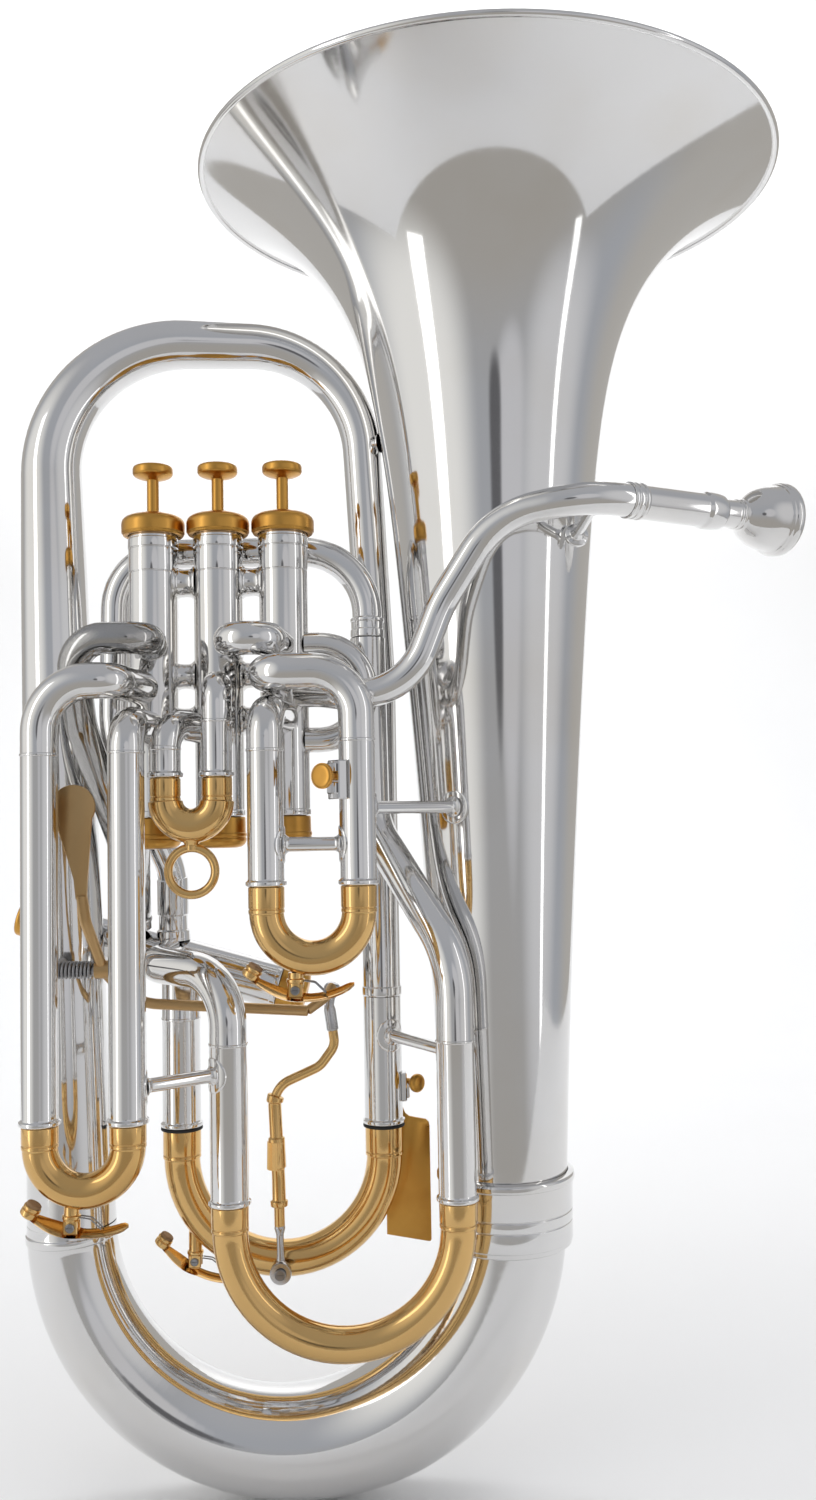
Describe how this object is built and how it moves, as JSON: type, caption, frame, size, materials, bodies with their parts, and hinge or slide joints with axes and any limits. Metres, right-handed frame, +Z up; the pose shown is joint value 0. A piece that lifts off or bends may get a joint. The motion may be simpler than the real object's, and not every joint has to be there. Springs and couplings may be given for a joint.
{
  "type": "euphonium",
  "caption": "Compensating euphonium with top-action valves, a side valve, pull slides and a trigger-worked main tuning slide, silver and gold plated.",
  "frame": {"origin": "centre of the instrument's footprint at the lowest point of the bottom bow", "axes": "+Z up along the bell, +X towards the mouthpiece side, -Y towards the valve slides"},
  "size_m": [0.4204, 0.3064, 0.6872],
  "materials": {
    "silver_plate": "polished silver plate on brass",
    "gold_plate": "polished gold plate",
    "satin_gold": "satin gold plate",
    "steel": "plain steel"
  },
  "bodies": {
    "instrument": {"bell": "silver_plate", "bell_garland": "silver_plate", "bottom_bow": "silver_plate", "top_branch": "silver_plate", "main_outer_right": "silver_plate", "main_outer_left": "silver_plate", "slide_1_outer_left": "silver_plate", "slide_1_outer_right": "silver_plate", "slide_2_outer_left": "silver_plate", "slide_2_outer_right": "silver_plate", "slide_3_outer_left": "silver_plate", "slide_3_outer_right": "silver_plate", "slide_4_outer_left": "silver_plate", "slide_4_outer_right": "silver_plate", "rear_loop": "silver_plate", "third_loop": "silver_plate", "front_u_bend": "silver_plate", "first_loop": "silver_plate", "leadpipe": "silver_plate", "receiver": "silver_plate", "trigger_axle": "steel", "trigger_spring": "steel", "hand_guard": "gold_plate", "lyre_screw": "gold_plate", "casing_1": "silver_plate", "top_cap_1": "satin_gold", "bottom_cap_1": "satin_gold", "valve_spring_1": "steel", "casing_2": "silver_plate", "top_cap_2": "satin_gold", "bottom_cap_2": "satin_gold", "valve_spring_2": "steel", "casing_3": "silver_plate", "top_cap_3": "satin_gold", "bottom_cap_3": "satin_gold", "valve_spring_3": "steel", "casing_4": "silver_plate", "top_cap_4": "satin_gold", "bottom_cap_4": "satin_gold", "valve_spring_4": "steel"},
    "valve_1": {"piston_1": "steel", "button_1": "satin_gold"},
    "valve_2": {"piston_2": "steel", "button_2": "satin_gold"},
    "valve_3": {"piston_3": "steel", "button_3": "satin_gold"},
    "valve_4": {"piston_4": "steel", "button_4": "satin_gold"},
    "first_slide": {"slide_1_crook": "gold_plate"},
    "second_slide": {"slide_2_crook": "gold_plate"},
    "third_slide": {"slide_3_crook": "gold_plate"},
    "fourth_slide": {"slide_4_crook": "gold_plate"},
    "main_slide": {"main_crook": "gold_plate"},
    "trigger": {"trigger_lever": "gold_plate"},
    "link": {"trigger_link": "gold_plate"},
    "key_1": {"water_key_1": "gold_plate"},
    "key_3": {"water_key_3": "gold_plate"},
    "key_main": {"water_key_main": "gold_plate"},
    "mouthpiece": {"mouthpiece": "silver_plate"}
  },
  "joints": [
    {"name": "valve_1_press", "type": "slide", "parent": "instrument", "child": "valve_1", "axis": [0, 0, -1], "range_m": [0, 0.015], "stiffness_N_per_m": 300, "springref_m": -0.01},
    {"name": "valve_2_press", "type": "slide", "parent": "instrument", "child": "valve_2", "axis": [0, 0, -1], "range_m": [0, 0.015], "stiffness_N_per_m": 300, "springref_m": -0.01},
    {"name": "valve_3_press", "type": "slide", "parent": "instrument", "child": "valve_3", "axis": [0, 0, -1], "range_m": [0, 0.015], "stiffness_N_per_m": 300, "springref_m": -0.01},
    {"name": "valve_4_press", "type": "slide", "parent": "instrument", "child": "valve_4", "axis": [0.9613, 0, -0.2756], "range_m": [0, 0.015], "stiffness_N_per_m": 300, "springref_m": -0.01},
    {"name": "slide_1_pull", "type": "slide", "parent": "instrument", "child": "first_slide", "axis": [0, 0, -1], "range_m": [0, 0.045]},
    {"name": "slide_2_pull", "type": "slide", "parent": "instrument", "child": "second_slide", "axis": [0, 0, -1], "range_m": [0, 0.009]},
    {"name": "slide_3_pull", "type": "slide", "parent": "instrument", "child": "third_slide", "axis": [0, 0, -1], "range_m": [0, 0.05]},
    {"name": "slide_4_pull", "type": "slide", "parent": "instrument", "child": "fourth_slide", "axis": [0, 0, -1], "range_m": [0, 0.03]},
    {"name": "main_slide_pull", "type": "slide", "parent": "instrument", "child": "main_slide", "axis": [0, 0, -1], "range_m": [0, 0.0132], "stiffness_N_per_m": 400, "springref_m": -0.03},
    {"name": "trigger_press", "type": "hinge", "parent": "instrument", "child": "trigger", "pos_m": [-0.14172, -0.05, 0.27418], "axis": [-1, 0, 0], "range_deg": [0, 18.2]},
    {"name": "link_swing", "type": "hinge", "parent": "main_slide", "child": "link", "pos_m": [-0.06172, -0.0052, 0.11318], "axis": [1, 0, 0], "range_deg": [0, 2.9]},
    {"name": "water_key_1_lift", "type": "hinge", "parent": "first_slide", "child": "key_1", "pos_m": [-0.04562, -0.08, 0.26668], "axis": [0, -1, 0], "range_deg": [0, 9], "stiffness_Nm_per_rad": 0.05, "springref_deg": -17.19},
    {"name": "water_key_3_lift", "type": "hinge", "parent": "third_slide", "child": "key_3", "pos_m": [-0.14962, -0.08, 0.16118], "axis": [0, -1, 0], "range_deg": [0, 9], "stiffness_Nm_per_rad": 0.05, "springref_deg": -17.19},
    {"name": "water_key_main_lift", "type": "hinge", "parent": "main_slide", "child": "key_main", "pos_m": [-0.10862, 0.014, 0.11418], "axis": [0, -1, 0], "range_deg": [0, 9], "stiffness_Nm_per_rad": 0.05, "springref_deg": -17.19},
    {"name": "mouthpiece_pull", "type": "slide", "parent": "instrument", "child": "mouthpiece", "axis": [0.8829, 0.4695, -0.0075], "range_m": [0, 0.025]}
  ],
  "couplings": [
    {"joint": "trigger_press", "follows": "main_slide_pull", "rad_per_m": 23.8},
    {"joint": "link_swing", "follows": "main_slide_pull", "rad_per_m": 3.5}
  ]
}
